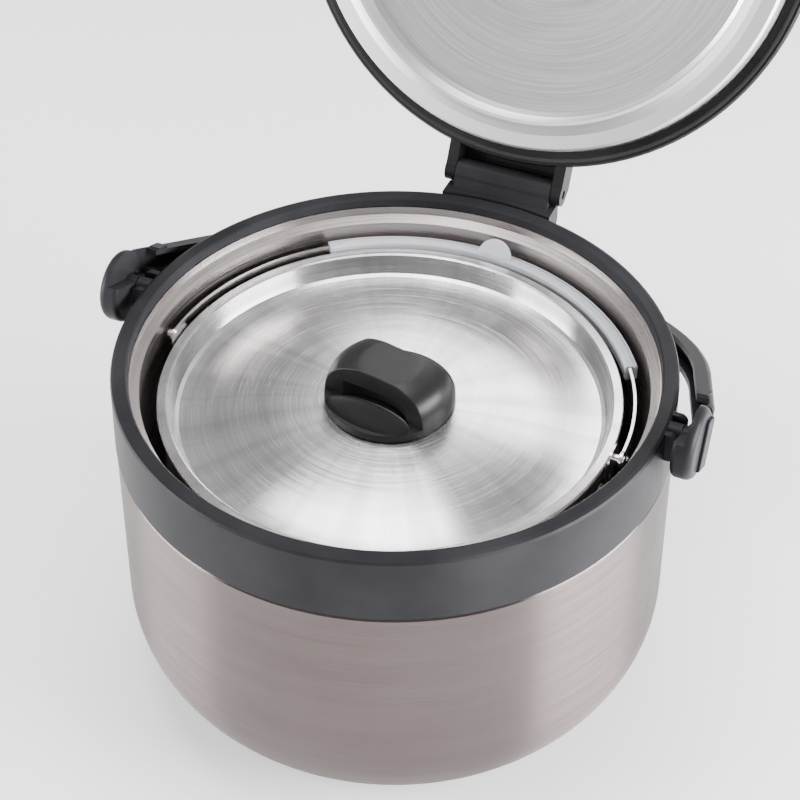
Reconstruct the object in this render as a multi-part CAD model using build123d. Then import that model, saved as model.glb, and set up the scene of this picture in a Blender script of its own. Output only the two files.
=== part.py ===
from build123d import *
import math
import os

# Vacuum thermal cooker: insulated vessel, hinged outer lid, swing carry handle,
# and a lift-out inner pot with its own lid and bail. Millimetres.
# Origin: centre of the base, on the surface it stands on. +Z up.
# +Y is the hinge side, -Y is the front with the latch, X runs through the handle pivots.

# ---- vessel -------------------------------------------------------------------
COLLAR_R = 145.0  # outer radius of collar and vessel wall
COLLAR_TOP = 200.0
COLLAR_BOTTOM = 160.9
COLLAR_BULGE = 0.4  # the collar's lower edge stands this much proud
COLLAR_SKIRT = 3.1
COLLAR_FLANGE = 4.8  # thickness of the collar's top flange
COLLAR_LIP_TOP_R = 136.5
COLLAR_LIP_LOW_R = 135.9
SHELL_T = 1.0
SHELL_CORNER = 60.0  # radius of the rounded foot of the vessel
SHELL_NECK_R = 141.6
SHELL_NECK_TOP = 193.4
CUP_TOP = 26.0  # joint between steel wall and base cup
CUP_T = 2.5
FOOT_R = 111.0
FOOT_INNER_R = 105.0
PAD_R = 104.5
PAD_T = 3.0
CUP_FLOOR_T = 2.5
PAN_FLOOR_Z = 12.0
LINER_T = 1.0
LINER_NECK_R = 135.6
LINER_TOP = 194.7
LINER_SHOULDER_TOP = 190.0
LINER_SHOULDER_LOW = 187.0
LINER_R = 131.2
LINER_CORNER = 45.0
LINER_FLOOR = 15.0

# ---- outer lid and hinge --------------------------------------------------------
LID_OPEN_DEG = 114.0
HINGE_Y = 157.3
HINGE_Z = 205.8
BARREL_R = 7.0
PLATFORM_HALF = 31.5
BARREL_HALF = 27.6
ARM_IN = 28.0
ARM_OUT = 34.0
ARM_END_R = 6.6
PIN_R = 2.5
SCREW_X = 18.0
SCREW_Z = 178.0
SCREW_R = 2.0
SCREW_HEAD_R = 3.7
SCREW_SEAT_Y = 149.3
RUNNING = 0.06  # radial clearance of a turning bore
PRESSED = 0.01  # radial clearance of a fixed bore
RIM_BOTTOM = 200.6
RIM_TOP = 216.0
RIM_T = 3.0
PLATE_EDGE_R = 138.8
PLATE_SEAT_Z = 202.1
PLATE_WALL_R = 134.5
PLATE_FACE_Z = 190.2
PLATE_T = 0.8
PLATE_BEAD_R = 120.0
PLATE_BEAD_Z = 187.5
PLATE_DISH_R = 116.7
PLATE_DISH_Z = 196.5
PLATE_CENTRE_R = 60.0
PLATE_CENTRE_Z = 201.5
COVER_TOP_Z = 241.0
COVER_RISE = 13.4
RIM_LIP_R = 136.4
RIM_LIP_T = 1.4
RIM_LEDGE_R = 124.0
GASKET_IN = 140.2
GASKET_OUT = 142.4
GASKET_DEPTH = 1.1

# ---- latch ----------------------------------------------------------------------
BUTTON_HALF = 13.6
BUTTON_LOW = 204.6
BUTTON_HIGH = 215.4
BUTTON_FACE_Y = -156.8
BUTTON_BACK_Y = -152.4
HOUSING_FACE_Y = -155.5
HOUSING_HALF = 22.0
HOOK_HALF = 9.0
HOOK_TIP_Y = -139.2
NOSE_LOW = 195.8
NOSE_HIGH = 197.8
LEG_BACK_Y = -130.6
LEG_T = 3.0
STEM_LOW = 206.0
STEM_HIGH = 212.0
LATCH_TRAVEL = 4.0
LATCH_PLAY = 0.4
GUIDE_HALF = 13.4
GUIDE_BACK_Y = -124.4
STOP_Y = -116.0

# ---- carry handle -----------------------------------------------------------------
PIVOT_Y = 8.5
PIVOT_Z = 194.5
HANDLE_REST_DEG = -24.0
HANDLE_OUT_X = 163.0
HANDLE_IN_X = 151.8
HANDLE_BACK_R = 174.0
HANDLE_BEND_X = 149.0  # where the straight arm meets the crossbar's arc
HANDLE_BEND_Y = 58.0
HANDLE_FRONT_Y = -30.0  # the slab is cut away in front of the pivot
HANDLE_LOW = 2.5  # the band's lower and upper edges, from the pivot's height
HANDLE_HIGH = 16.5
HANDLE_WALL = 3.4
HANDLE_ROUND = 3.0
LEDGE_W = 9.5
FLARE_LOW = -16.0  # the arms' walls reach down to here at the pivots
FLARE_END = 72.0
PADDLE_R = 19.0
PADDLE_Y = -6.5  # centre of the arm's round end, from the pivot
PADDLE_PLATE = 5.2  # thickness of the arm's round end where it is not solid
PADDLE_CUT = 3.0
EAR_OUT_X = 151.2
EAR_T = 3.0
EAR_CENTRE = 7.7

# ---- inner pot ------------------------------------------------------------------
POT_X = -2.2
POT_Y = -1.4
POT_R = 117.4
POT_T = 1.0
POT_FLOOR = 21.3
POT_CORNER = 20.0
BEAD_R = 120.0
BEAD_LOW = 172.0
BEAD_TOP = 177.0
BASE_DISC_R = 86.0
POT_GAP = 0.3  # the pot stands this far above the liner's floor
BAIL_X = -1.0
BAIL_Z = 176.0
BAIL_IN = 124.2
BAIL_OUT = 125.6
BAIL_HALF_H = 4.0
STUD_R = 2.4
STUD_REACH = 127.6
LUG_X = 121.0
RIVET_R = 1.6
RIVET_Y = 6.0
RIVET_Z = 158.0
SLEEVE_START = 31.0
SLEEVE_END = 129.0
SLEEVE_IN = 122.6
SLEEVE_OUT = 129.2
TAB_AZIMUTH = 86.0
TAB_R = 9.8
LID_R = 120.4
LID_T = 0.8
FLANGE_TOP = 178.1
KNOB_Z = 173.4
KNOB_R = 34.0
KNOB_H = 24.3
KNOB_BASE_H = 4.9
KNOB_TURN_DEG = -9.9


def at(x, z):
    """A point of a profile in the XZ plane."""
    return (x, 0, z)


def turned(*edges):
    """A solid of revolution about Z from a closed outline in the XZ plane."""
    return revolve(make_face(list(edges)), Axis.Z, 360)


def turned_points(points):
    """A solid of revolution about Z from straight-sided outline points."""
    return revolve(make_face([Polyline(*[at(x, z) for x, z in points], close=True)]), Axis.Z, 360)


def block(x0, x1, y0, y1, z0, z1):
    """A box between two corners."""
    box = Box(x1 - x0, y1 - y0, z1 - z0)
    return Pos((x0 + x1) / 2, (y0 + y1) / 2, (z0 + z1) / 2) * box


def rod_x(radius, x0, x1, y, z):
    """A cylinder along X."""
    return Pos((x0 + x1) / 2, y, z) * Rot(0, 90, 0) * Cylinder(radius, x1 - x0)


def rod_y(radius, x, y0, y1, z):
    """A cylinder along Y."""
    return Pos(x, (y0 + y1) / 2, z) * Rot(90, 0, 0) * Cylinder(radius, y1 - y0)


def disc(radius, z0, z1):
    """A cylinder about Z."""
    return Pos(0, 0, (z0 + z1) / 2) * Cylinder(radius, z1 - z0)


def both_sides(right):
    """A right-hand piece and its mirror image on the left."""
    return right + mirror(right, Plane.YZ)


def corner_point(radius, z):
    """The point at height z on the vessel's rounded foot, for a given arc radius."""
    drop = (SHELL_CORNER - z) / radius
    return at(COLLAR_R - SHELL_CORNER + radius * math.sqrt(1 - drop * drop), z)


def corner_arc(radius, z):
    """The vessel's rounded foot from height z up to where the wall turns upright."""
    centre_x = COLLAR_R - SHELL_CORNER
    low = corner_point(radius, z)
    half = math.asin((SHELL_CORNER - z) / radius) / 2
    mid = at(centre_x + radius * math.cos(half), SHELL_CORNER - radius * math.sin(half))
    return ThreePointArc(low, mid, at(centre_x + radius, SHELL_CORNER))


def floor_corner(wall_r, floor_z, radius):
    """A quarter arc from a flat floor up to an upright wall."""
    centre_x = wall_r - radius
    centre_z = floor_z + radius
    reach = radius * math.sqrt(0.5)
    return ThreePointArc(
        at(centre_x, floor_z), at(centre_x + reach, centre_z - reach), at(wall_r, centre_z)
    )


def save(name, shape):
    shape.label = name
    export_step(shape, f"parts/{name}.step")


def group(shape):
    """Several separate solids kept in one file."""
    return Compound(children=list(shape.solids()))


# ---- vessel pieces -----------------------------------------------------------------


def make_outer_shell():
    step_z = COLLAR_BOTTOM - 0.6
    inner_r = COLLAR_R - SHELL_T
    neck_in = SHELL_NECK_R - SHELL_T
    lip_r = LINER_NECK_R + LINER_T + 0.1
    outer_arc = corner_arc(SHELL_CORNER, CUP_TOP)
    inner_arc = corner_arc(SHELL_CORNER - SHELL_T, CUP_TOP)
    upper = Polyline(
        at(COLLAR_R, SHELL_CORNER),
        at(COLLAR_R, step_z - 0.8),
        at(COLLAR_R - 0.8, step_z),
        at(SHELL_NECK_R, step_z),
        at(SHELL_NECK_R, SHELL_NECK_TOP),
        at(lip_r, SHELL_NECK_TOP),
        at(lip_r, SHELL_NECK_TOP - SHELL_T),
        at(neck_in, SHELL_NECK_TOP - SHELL_T),
        at(neck_in, step_z - SHELL_T),
        at(inner_r, step_z - SHELL_T),
        at(inner_r, SHELL_CORNER),
    )
    foot = Line(corner_point(SHELL_CORNER - SHELL_T, CUP_TOP), corner_point(SHELL_CORNER, CUP_TOP))
    return turned(outer_arc, upper, inner_arc, foot)


def make_inner_liner():
    out = LINER_R + LINER_T
    neck_out = LINER_NECK_R + LINER_T
    flange_low = SHELL_NECK_TOP + 0.1
    inside = Polyline(
        at(0, LINER_FLOOR),
        at(LINER_R - LINER_CORNER, LINER_FLOOR),
    )
    corner_in = floor_corner(LINER_R, LINER_FLOOR, LINER_CORNER)
    upper = Polyline(
        at(LINER_R, LINER_FLOOR + LINER_CORNER),
        at(LINER_R, LINER_SHOULDER_LOW),
        at(LINER_NECK_R, LINER_SHOULDER_TOP),
        at(LINER_NECK_R, LINER_TOP),
        at(140.0, LINER_TOP),
        at(140.0, flange_low),
        at(neck_out, flange_low),
        at(neck_out, LINER_SHOULDER_TOP - 0.6),
        at(out, LINER_SHOULDER_LOW - 0.6),
        at(out, LINER_FLOOR + LINER_CORNER),
    )
    corner_out = floor_corner(out, LINER_FLOOR - LINER_T, LINER_CORNER + LINER_T)
    floor = Polyline(
        at(LINER_R - LINER_CORNER, LINER_FLOOR - LINER_T),
        at(0, LINER_FLOOR - LINER_T),
        at(0, LINER_FLOOR),
    )
    return turned(inside, corner_in, upper, corner_out, floor)


def make_outer_bottom():
    """A dished pan welded inside the foot of the outer wall."""
    outer = [(0, 0), (112.0, 0), (122.0, 6.0), (130.0, 14.0), (136.6, 22.0)]
    inner = [(135.3, 22.0), (129.0, 14.6), (121.4, 7.0), (111.6, 1.0), (0, 1.0)]
    return turned_points([(r, PAN_FLOOR_Z + z) for r, z in outer + inner])


def make_seal_cap():
    cap = disc(14.0, PAN_FLOOR_Z - 3.2, PAN_FLOOR_Z)
    return fillet(cap.faces().sort_by(Axis.Z)[0].edges(), 1.0)


def make_base_cup():
    """The cup carries the wall's curve down to a narrow foot, with a recess for the pad."""
    foot_z = 1.0
    floor_top = PAD_T + CUP_FLOOR_T
    foot_top = 8.0
    outer_low = corner_point(SHELL_CORNER, foot_top)
    wall_in = corner_point(SHELL_CORNER - CUP_T, foot_top + 2.0)
    centre_x = COLLAR_R - SHELL_CORNER

    def cup_arc(radius, z):
        low = corner_point(radius, z)
        high = corner_point(radius, CUP_TOP - 0.15)
        a = math.asin((SHELL_CORNER - z) / radius)
        b = math.asin((SHELL_CORNER - CUP_TOP) / radius)
        half = (a + b) / 2
        mid = at(centre_x + radius * math.cos(half), SHELL_CORNER - radius * math.sin(half))
        return ThreePointArc(low, mid, high)

    outer = cup_arc(SHELL_CORNER, foot_top)
    inner = cup_arc(SHELL_CORNER - CUP_T, foot_top + 2.0)
    lip_z = CUP_TOP - 0.15
    top = Line(corner_point(SHELL_CORNER - CUP_T, lip_z), corner_point(SHELL_CORNER, lip_z))
    bottom = Polyline(
        outer_low,
        at(FOOT_R, foot_z + 1.5),
        at(FOOT_R - 1.5, foot_z),
        at(FOOT_INNER_R, foot_z),
        at(FOOT_INNER_R, PAD_T),
        at(0, PAD_T),
        at(0, floor_top),
        at(107.0, floor_top),
        wall_in,
    )
    return turned(outer, top, inner, bottom)


def make_base_pad():
    """A rubber disc that the vessel stands on."""
    pad = disc(PAD_R, 0, PAD_T)
    return chamfer(pad.faces().sort_by(Axis.Z)[0].edges(), 0.6)


def make_collar_ring():
    low_r = COLLAR_R + COLLAR_BULGE
    skirt_in = COLLAR_R - COLLAR_SKIRT
    flange_low = COLLAR_TOP - COLLAR_FLANGE
    ring = turned_points(
        [
            (low_r - 0.8, COLLAR_BOTTOM),
            (low_r, COLLAR_BOTTOM + 0.8),
            (COLLAR_R, COLLAR_TOP - 2.2),
            (COLLAR_R - 0.7, COLLAR_TOP - 0.7),
            (COLLAR_R - 2.2, COLLAR_TOP),
            (COLLAR_LIP_TOP_R + 0.8, COLLAR_TOP),
            (COLLAR_LIP_TOP_R, COLLAR_TOP - 0.8),
            (COLLAR_LIP_LOW_R, flange_low),
            (skirt_in, flange_low),
            (skirt_in, COLLAR_BOTTOM),
        ]
    )
    ring += both_sides(make_handle_bracket())
    catch = block(-11.5, 11.5, -141.0, -130.0, flange_low - 1.0, NOSE_HIGH + 0.6)
    screw_holes = both_sides(rod_y(SCREW_R + 0.02, SCREW_X, 135.0, 150.0, SCREW_Z))
    pin_holes = both_sides(rod_x(PIN_R + PRESSED, COLLAR_R - 0.8, EAR_OUT_X + 1.0, PIVOT_Y, PIVOT_Z))
    return ring - catch - screw_holes - pin_holes


def make_handle_bracket():
    """Two ears flush with the collar's top, with the pivot boss between them."""
    start = COLLAR_R - 1.5
    ear_low = COLLAR_TOP - 17.0
    boss = rod_x(5.4, start, EAR_OUT_X, PIVOT_Y, PIVOT_Z)
    for side in (-1, 1):
        y = PIVOT_Y + side * EAR_CENTRE
        root_x = math.sqrt(COLLAR_R**2 - y * y) - 1.5
        ear = block(root_x, EAR_OUT_X, y - EAR_T / 2, y + EAR_T / 2, ear_low, COLLAR_TOP)
        tips = ear.edges().filter_by(Axis.Y).group_by(Axis.X)[-1]
        boss += fillet(tips, 4.0)
    web = block(start, EAR_OUT_X - 3.5, PIVOT_Y - 6.4, PIVOT_Y + 6.4, ear_low + 1.0, ear_low + 3.6)
    wall = disc(COLLAR_R - 0.8, ear_low - 1.0, COLLAR_TOP + 1.0)
    return boss + web - wall


def make_handle_pins():
    pin = rod_x(PIN_R, COLLAR_R - 0.6, HANDLE_OUT_X - 3.6, PIVOT_Y, PIVOT_Z)
    pin = chamfer(pin.faces().sort_by(Axis.X)[-1].edges(), 0.5)
    return both_sides(pin)


def make_hinge_bracket():
    """A platform level with the collar's top that carries the fixed hinge barrel."""
    barrel = rod_x(BARREL_R, -BARREL_HALF, BARREL_HALF, HINGE_Y, HINGE_Z)
    neck = [
        (148.2, COLLAR_TOP - 2.0),
        (HINGE_Y + 1.0, COLLAR_TOP - 2.0),
        (HINGE_Y + 2.5, HINGE_Z),
        (HINGE_Y - BARREL_R + 0.1, HINGE_Z),
        (148.2, COLLAR_TOP),
    ]
    neck_outline = make_face([Polyline(*[(0, y, z) for y, z in neck], close=True)])
    neck_block = extrude(neck_outline, BARREL_HALF, both=True)
    side = [
        (136.0, COLLAR_TOP),
        (136.0, 166.0),
        (150.4, 166.0),
        (151.0, 178.0),
        (156.6, 190.0),
        (156.6, COLLAR_TOP),
    ]
    side_outline = make_face([Polyline(*[(0, y, z) for y, z in side], close=True)])
    platform = extrude(side_outline, PLATFORM_HALF, both=True)
    bore = rod_x(PIN_R + PRESSED, -ARM_OUT, ARM_OUT, HINGE_Y, HINGE_Z)
    arm_room = both_sides(rod_x(ARM_END_R + 0.6, ARM_IN - 0.3, ARM_OUT + 5.0, HINGE_Y, HINGE_Z))
    collar_room = disc(COLLAR_R + COLLAR_BULGE + 0.05, 150.0, 230.0)
    holes = rod_y(SCREW_R + 0.02, SCREW_X, 140.0, 170.0, SCREW_Z)
    holes += rod_y(SCREW_HEAD_R + 0.2, SCREW_X, SCREW_SEAT_Y - 0.1, 170.0, SCREW_Z)
    return barrel + neck_block + platform - bore - arm_room - collar_room - both_sides(holes)


def make_hinge_screws():
    face_y = SCREW_SEAT_Y + 1.9
    screw = rod_y(SCREW_R, SCREW_X, 141.3, SCREW_SEAT_Y, SCREW_Z)
    screw += rod_y(SCREW_HEAD_R, SCREW_X, SCREW_SEAT_Y, face_y, SCREW_Z)
    upright = block(-0.5, 0.5, face_y - 0.7, face_y + 0.8, -2.5, 2.5)
    level = block(-2.5, 2.5, face_y - 0.7, face_y + 0.8, -0.5, 0.5)
    return both_sides(screw - Pos(SCREW_X, 0, SCREW_Z) * (upright + level))


def make_hinge_pin():
    pin = rod_x(PIN_R, -ARM_OUT + 0.8, ARM_OUT - 0.8, HINGE_Y, HINGE_Z)
    ends = pin.faces().sort_by(Axis.X)[0].edges() + pin.faces().sort_by(Axis.X)[-1].edges()
    return chamfer(ends, 0.4)


# ---- outer lid pieces, drawn closed -------------------------------------------------


def opened(shape):
    """Turn a closed lid piece about the hinge to its open rest place."""
    return shape.rotate(Axis((0, HINGE_Y, HINGE_Z), (1, 0, 0)), -LID_OPEN_DEG)


def make_lid_rim():
    ledge_z = PLATE_SEAT_Z + PLATE_T + 0.1
    ring = turned_points(
        [
            (RIM_LIP_R, RIM_BOTTOM),
            (COLLAR_R - 1.2, RIM_BOTTOM),
            (COLLAR_R, RIM_BOTTOM + 1.6),
            (COLLAR_R - 0.3, RIM_BOTTOM + 5.0),
            (COLLAR_R - 2.0, RIM_TOP),
            (COLLAR_R - 2.0 - RIM_T, RIM_TOP),
            (COLLAR_R - 0.6 - RIM_T, ledge_z + 1.8),
            (RIM_LEDGE_R, ledge_z + 1.8),
            (RIM_LEDGE_R, ledge_z),
            (PLATE_EDGE_R + 0.2, ledge_z),
            (PLATE_EDGE_R + 0.2, RIM_BOTTOM + RIM_LIP_T),
            (RIM_LIP_R, RIM_BOTTOM + RIM_LIP_T),
        ]
    )
    groove_top = RIM_BOTTOM + GASKET_DEPTH
    groove = turned_points(
        [
            (GASKET_IN, RIM_BOTTOM - 1.0),
            (GASKET_OUT + 0.02, RIM_BOTTOM - 1.0),
            (GASKET_OUT + 0.02, groove_top),
            (GASKET_IN, groove_top),
        ]
    )
    ring = ring - groove + both_sides(make_lid_arm()) + make_hinge_cover()
    ring = ring + make_latch_housing()
    pin_holes = rod_x(PIN_R + RUNNING, -ARM_OUT - 1.0, ARM_OUT + 1.0, HINGE_Y, HINGE_Z)
    return ring - pin_holes - make_latch_room()


def make_lid_arm():
    """A flat arm from the rim's outer wall to a rounded eye about the hinge pin."""
    eye = rod_x(ARM_END_R, ARM_IN, ARM_OUT, HINGE_Y, HINGE_Z)
    side = [
        (138.0, RIM_BOTTOM + 0.6),
        (HINGE_Y - 3.0, RIM_BOTTOM - 0.2),
        (HINGE_Y + ARM_END_R - 0.6, HINGE_Z + 2.6),
        (HINGE_Y - 1.0, RIM_TOP - 1.4),
        (138.0, RIM_TOP - 0.6),
    ]
    outline = make_face([Polyline(*[(0, y, z) for y, z in side], close=True)])
    web = Pos((ARM_IN + ARM_OUT) / 2, 0, 0) * extrude(outline, (ARM_OUT - ARM_IN) / 2, both=True)
    hollow = disc(COLLAR_R - 2.2, RIM_BOTTOM - 2.0, RIM_TOP + 2.0)
    return eye + web - hollow


def make_hinge_cover():
    """A plate between the two arms that covers the fixed barrel, with a stiffening rib below."""
    half = ARM_IN + 1.0
    low = HINGE_Z + BARREL_R + 0.6
    plate = block(-half, half, 140.0, HINGE_Y + 6.3, low, low + 2.0)
    rib = block(-ARM_IN + 1.5, ARM_IN - 1.5, HINGE_Y - 7.6, HINGE_Y - 5.6, low - 1.2, low + 0.5)
    hollow = disc(COLLAR_R - 2.2, RIM_BOTTOM, RIM_TOP + 2.0)
    return plate + rib - hollow


def make_latch_housing():
    """A finger grip on the rim's front that carries the latch button, and the hook's guide."""
    nose = block(-HOUSING_HALF, HOUSING_HALF, HOUSING_FACE_Y, -138.0, RIM_BOTTOM + 1.0, RIM_TOP + 2.0)
    nose = fillet(nose.edges().filter_by(Axis.Z).group_by(Axis.Y)[0], 7.0)
    nose -= disc(COLLAR_R - 2.6, RIM_BOTTOM - 1.0, RIM_TOP + 3.0)
    guide = block(
        -GUIDE_HALF, GUIDE_HALF, -133.9, GUIDE_BACK_Y, PLATE_FACE_Z + 0.6, RIM_BOTTOM + 4.2
    )
    lip = block(-GUIDE_HALF, GUIDE_HALF, -139.4, -133.8, RIM_BOTTOM, RIM_BOTTOM + RIM_LIP_T)
    lip &= disc(GASKET_IN - 0.6, RIM_BOTTOM - 1.0, RIM_TOP)
    sill = block(-6.0, 6.0, GUIDE_BACK_Y - 1.6, STOP_Y + 2.0, RIM_BOTTOM + 1.4, RIM_BOTTOM + 3.2)
    stop = block(-6.0, 6.0, STOP_Y, STOP_Y + 2.0, RIM_BOTTOM + 1.4, RIM_BOTTOM + 13.4)
    return nose + guide + lip + sill + stop


def make_latch_room():
    """The space that the button, its stem and its hook slide in."""
    half = HOOK_HALF + LATCH_PLAY
    back = LEG_BACK_Y + LATCH_TRAVEL + LATCH_PLAY
    cap_half = BUTTON_HALF + LATCH_PLAY
    cap_back = BUTTON_BACK_Y + LATCH_TRAVEL + LATCH_PLAY
    front = block(-cap_half, cap_half, -160.0, cap_back, BUTTON_LOW - LATCH_PLAY, BUTTON_HIGH + LATCH_PLAY)
    stem = block(-half, half, -150.0, back, STEM_LOW - LATCH_PLAY, STEM_HIGH + LATCH_PLAY)
    leg = block(-half, half, LEG_BACK_Y - LEG_T - LATCH_PLAY, back, 188.0, STEM_HIGH)
    return front + stem + leg


def make_lid_inner_plate():
    """A stepped steel plate: a neck plug, a beaded face and a dished middle."""
    plate = turned_points(
        [
            (0, PLATE_CENTRE_Z),
            (PLATE_CENTRE_R, PLATE_CENTRE_Z),
            (PLATE_DISH_R - 2.5, PLATE_DISH_Z + 0.4),
            (PLATE_DISH_R, PLATE_DISH_Z - 0.9),
            (PLATE_BEAD_R - 1.6, PLATE_BEAD_Z + 0.3),
            (PLATE_BEAD_R, PLATE_BEAD_Z),
            (PLATE_BEAD_R + 2.4, PLATE_FACE_Z - 1.4),
            (PLATE_BEAD_R + 6.0, PLATE_FACE_Z),
            (PLATE_WALL_R - 1.4, PLATE_FACE_Z),
            (PLATE_WALL_R, PLATE_FACE_Z + 1.4),
            (PLATE_WALL_R + 1.2, PLATE_SEAT_Z - 0.6),
            (PLATE_WALL_R + 1.8, PLATE_SEAT_Z),
            (PLATE_EDGE_R, PLATE_SEAT_Z),
            (PLATE_EDGE_R, PLATE_SEAT_Z + PLATE_T),
            (PLATE_WALL_R + 0.6, PLATE_SEAT_Z + PLATE_T),
            (PLATE_WALL_R - PLATE_T, PLATE_FACE_Z + 1.8),
            (PLATE_WALL_R - 1.8, PLATE_FACE_Z + PLATE_T),
            (PLATE_BEAD_R + 5.6, PLATE_FACE_Z + PLATE_T),
            (PLATE_BEAD_R + 1.8, PLATE_FACE_Z - 0.6),
            (PLATE_BEAD_R, PLATE_BEAD_Z + PLATE_T),
            (PLATE_BEAD_R - 1.0, PLATE_BEAD_Z + 1.0),
            (PLATE_DISH_R + 0.8, PLATE_DISH_Z - 0.6),
            (PLATE_DISH_R - 2.2, PLATE_DISH_Z + 1.2),
            (PLATE_CENTRE_R, PLATE_CENTRE_Z + PLATE_T),
            (0, PLATE_CENTRE_Z + PLATE_T),
        ]
    )
    notch = block(-13.8, 13.8, -150.0, -124.0, 180.0, 210.0)
    return plate - notch


def make_lid_gasket():
    top = RIM_BOTTOM + GASKET_DEPTH - 0.05
    return turned_points(
        [
            (GASKET_IN + 0.02, top),
            (GASKET_IN + 0.02, RIM_BOTTOM + 0.1),
            (GASKET_IN + 0.6, RIM_BOTTOM - 0.2),
            (GASKET_OUT - 0.6, RIM_BOTTOM - 0.2),
            (GASKET_OUT, RIM_BOTTOM + 0.1),
            (GASKET_OUT, top),
        ]
    )


def cover_skin(drop):
    """The cover's rounded edge and shallow dome, lowered and narrowed by drop."""
    foot = at(COLLAR_R - 2.2 - drop, RIM_TOP + 0.1)
    wall = at(COLLAR_R - 2.8 - drop, RIM_TOP + 3.5)
    turn = at(COLLAR_R - 5.4 - drop, RIM_TOP + 8.6 - drop)
    rim = at(COLLAR_R - 11.5 - drop, COVER_TOP_Z - COVER_RISE - drop)
    rise_r = (rim[0] ** 2 + COVER_RISE**2) / (2 * COVER_RISE)
    half_r = rim[0] / 2
    half = at(half_r, COVER_TOP_Z - drop - (rise_r - math.sqrt(rise_r**2 - half_r**2)))
    top = at(0, COVER_TOP_Z - drop)
    return [Line(foot, wall), ThreePointArc(wall, turn, rim), ThreePointArc(rim, half, top)]


def make_lid_top_cover():
    """A shallow steel dome that closes the lid."""
    outer = cover_skin(0)
    inner = cover_skin(1.0)
    foot = Line(outer[0] @ 0, inner[0] @ 0)
    centre = Line(outer[2] @ 1, inner[2] @ 1)
    notch = block(-HOUSING_HALF - 0.3, HOUSING_HALF + 0.3, -160.0, -139.0, 200.0, RIM_TOP + 2.4)
    return turned(*outer, centre, *inner, foot) - notch


def make_lid_insulation():
    foam = turned_points(
        [
            (0, PLATE_CENTRE_Z + 2.0),
            (PLATE_CENTRE_R, PLATE_CENTRE_Z + 2.0),
            (108.0, RIM_BOTTOM + 5.0),
            (136.0, RIM_BOTTOM + 5.0),
            (136.0, RIM_TOP + 4.0),
            (128.0, 225.0),
            (70.0, 235.0),
            (0, COVER_TOP_Z - 1.6),
        ]
    )
    return foam - block(-24.0, 24.0, -150.0, -112.0, 190.0, 218.0)


def make_latch_button():
    cap = block(-BUTTON_HALF, BUTTON_HALF, BUTTON_FACE_Y, BUTTON_BACK_Y, BUTTON_LOW, BUTTON_HIGH)
    cap = fillet(cap.faces().sort_by(Axis.Y)[0].edges(), 1.2)
    leg_front = LEG_BACK_Y - LEG_T
    stem = block(-HOOK_HALF, HOOK_HALF, BUTTON_BACK_Y, LEG_BACK_Y, STEM_LOW, STEM_HIGH)
    leg = block(-HOOK_HALF, HOOK_HALF, leg_front, LEG_BACK_Y, NOSE_LOW, STEM_LOW + 1.0)
    nose = block(-HOOK_HALF, HOOK_HALF, HOOK_TIP_Y, leg_front + 0.6, NOSE_LOW, NOSE_HIGH)
    nose = chamfer(nose.edges().filter_by(Axis.X).group_by(Axis.Y)[0].group_by(Axis.Z)[0], 1.4)
    return cap + stem + leg + nose


def make_latch_spring():
    """A small compression spring between the button's stem and the lid's stop."""
    wire_r = 0.3
    end_gap = wire_r + 0.1
    length = STOP_Y - LEG_BACK_Y - 2 * end_gap
    path = Helix(pitch=2.6, height=length, radius=2.6)
    wire = Plane(origin=path @ 0, z_dir=path % 0) * Circle(wire_r)
    coil = sweep(wire, path=path)
    return Pos(0, STOP_Y - end_gap, (STEM_LOW + STEM_HIGH) / 2) * Rot(90, 0, 0) * coil


# ---- carry handle, drawn flat about its pivot axis ----------------------------------


def handle_outline(inset):
    """The handle's plan outline, moved inwards by inset."""
    out_x = HANDLE_OUT_X - inset
    bend_x = HANDLE_BEND_X - 0.97 * inset
    bend_y = HANDLE_BEND_Y - 0.25 * inset
    back = HANDLE_BACK_R - inset
    end = HANDLE_FRONT_Y
    side = Line((-out_x, end), (-out_x, PIVOT_Y))
    lean = Line((-out_x, PIVOT_Y), (-bend_x, bend_y))
    crossbar = ThreePointArc((-bend_x, bend_y), (0, back), (bend_x, bend_y))
    lean_back = Line((bend_x, bend_y), (out_x, PIVOT_Y))
    side_back = Line((out_x, PIVOT_Y), (out_x, end))
    close = Line((out_x, end), (-out_x, end))
    return make_face([side, lean, crossbar, lean_back, side_back, close])


def handle_band(inset):
    """The arms and crossbar as a slab with rounded edges, hollow inside the inset outline."""
    height = HANDLE_HIGH - HANDLE_LOW
    slab = extrude(Pos(0, 0, HANDLE_LOW) * handle_outline(0), height)
    corners = slab.edges().filter_by(Axis.Z).filter_by(lambda edge: edge.center().Y > 0)
    slab = fillet(corners, 8.0)
    rims = slab.edges().filter_by(lambda edge: abs(edge.start_point().Z - edge.end_point().Z) < 0.01)
    rims = rims.filter_by(lambda edge: edge.center().Y > HANDLE_FRONT_Y + 1)
    slab = fillet(rims, HANDLE_ROUND)
    return slab - extrude(Pos(0, 0, HANDLE_LOW - 1) * handle_outline(inset), height + 2)


def make_carry_handle():
    behind_pivot = block(-200, 200, 4.0, 200, -30, 40)
    behind_ears = block(-200, 200, 16.0, 200, -30, 40)
    groove_low = HANDLE_LOW + 2.8
    groove_high = HANDLE_HIGH - 2.8
    groove = extrude(Pos(0, 0, groove_low) * handle_outline(HANDLE_WALL), groove_high - groove_low)
    ledged = handle_band(LEDGE_W)
    grip = block(-48, 48, 100, 200, -30, 40) & ledged
    frame = (handle_band(HANDLE_WALL) & behind_pivot) + ((ledged & behind_ears) - groove) + grip
    frame += make_arm_flares() + both_sides(make_paddle() + make_arm_rib())
    pin_bores = both_sides(rod_x(PIN_R + RUNNING, HANDLE_IN_X - 1, HANDLE_OUT_X - 3.2, 0, 0))
    return Pos(0, PIVOT_Y, PIVOT_Z) * Rot(HANDLE_REST_DEG, 0, 0) * (frame - pin_bores)


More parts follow.
